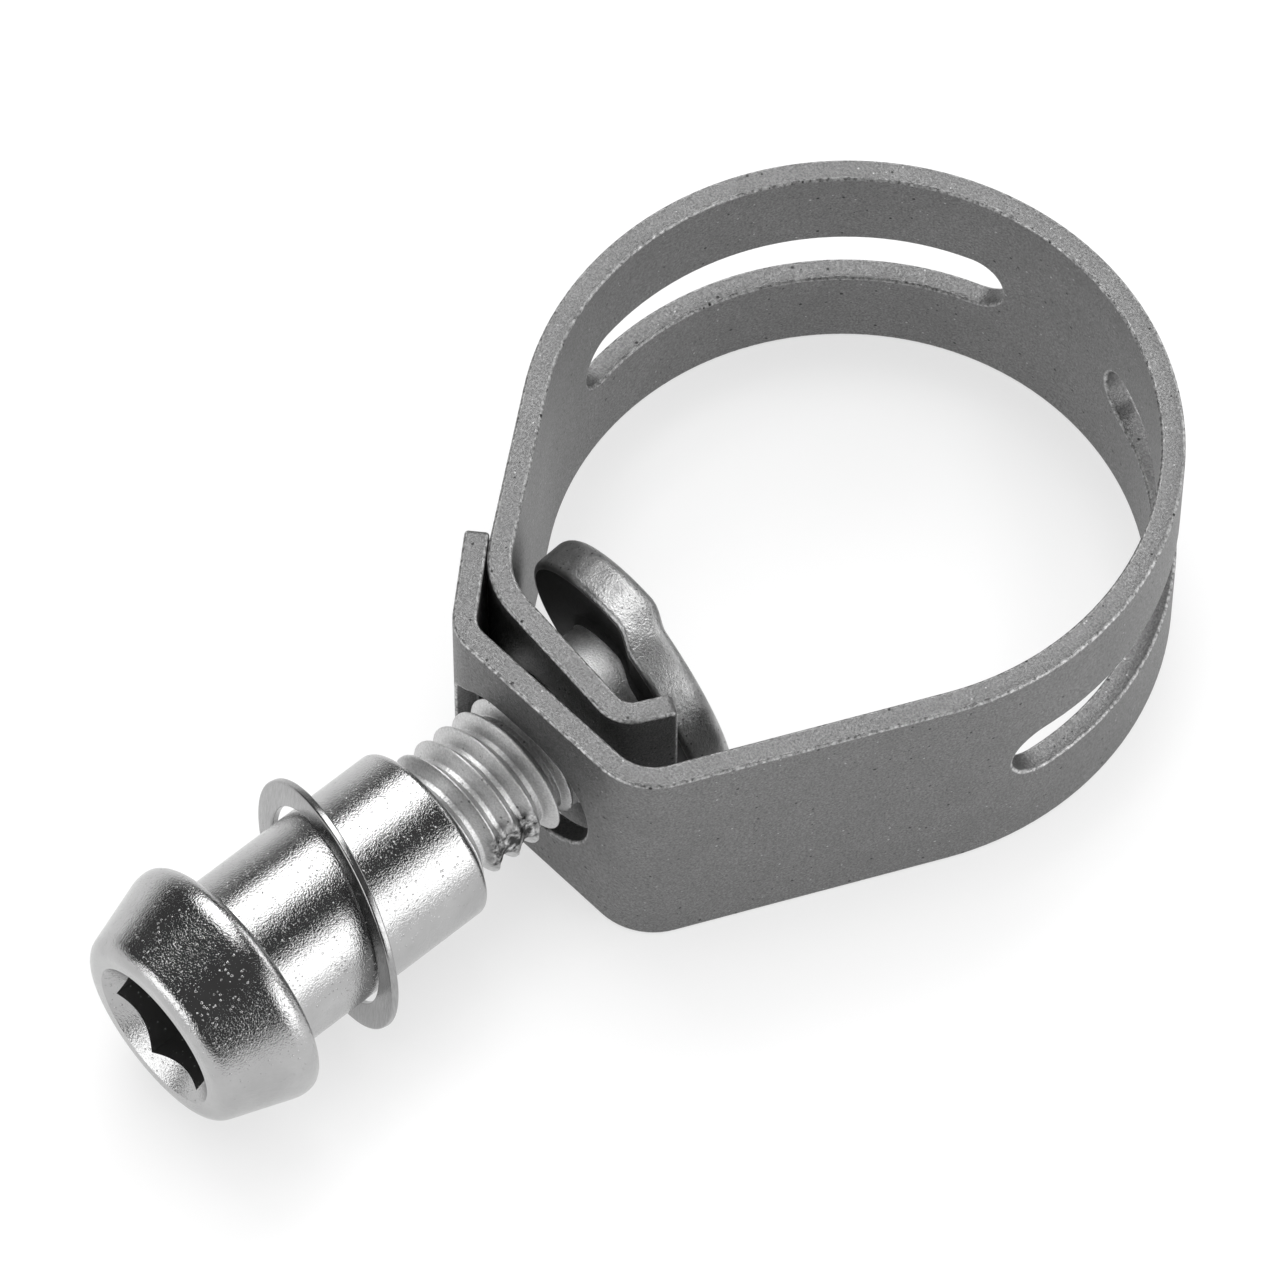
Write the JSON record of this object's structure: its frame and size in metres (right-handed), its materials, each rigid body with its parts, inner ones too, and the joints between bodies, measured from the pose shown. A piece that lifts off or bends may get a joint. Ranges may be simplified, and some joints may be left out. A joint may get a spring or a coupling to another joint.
{
  "type": "shifter clamp",
  "caption": "Bent steel band clamp for a handlebar, with a plate-headed clamp bolt, a hexagon-socket sleeve nut and a loose washer.",
  "frame": {"origin": "centre of the round part of the band, on the bar's axis, halfway across the strip", "axes": "+Z along the handlebar, -Y out past the flats towards the clamp bolt and nut, +X to the right leg"},
  "size_m": [0.0268, 0.0502, 0.0118],
  "materials": {
    "band_steel": "matt grey tumbled zinc plating with fine speckle",
    "bolt_steel": "dull grey forged steel with a worn thread",
    "nut_plating": "bright nickel plating",
    "washer_plating": "bright nickel plating"
  },
  "bodies": {
    "band_body": {"band": "band_steel"},
    "bolt_body": {"clamp_bolt": "bolt_steel"},
    "washer_body": {"washer": "washer_plating"},
    "nut_body": {"sleeve_nut": "nut_plating"}
  },
  "joints": [
    {"name": "bolt_slide", "type": "slide", "parent": "band_body", "child": "bolt_body", "axis": [0.0466, 0.9989, 0], "range_m": [0, 0.0022]},
    {"name": "nut_travel", "type": "slide", "parent": "bolt_body", "child": "washer_body", "axis": [-0.0466, -0.9989, 0], "range_m": [-0.002, 0.004]},
    {"name": "nut_turn", "type": "hinge", "parent": "washer_body", "child": "nut_body", "pos_m": [-0.00104, -0.0225, 0], "axis": [-0.0466, -0.9989, 0], "range_deg": [-732, 1452]}
  ],
  "couplings": [
    {"joint": "nut_turn", "follows": "nut_travel", "rad_per_m": 6283.2}
  ]
}
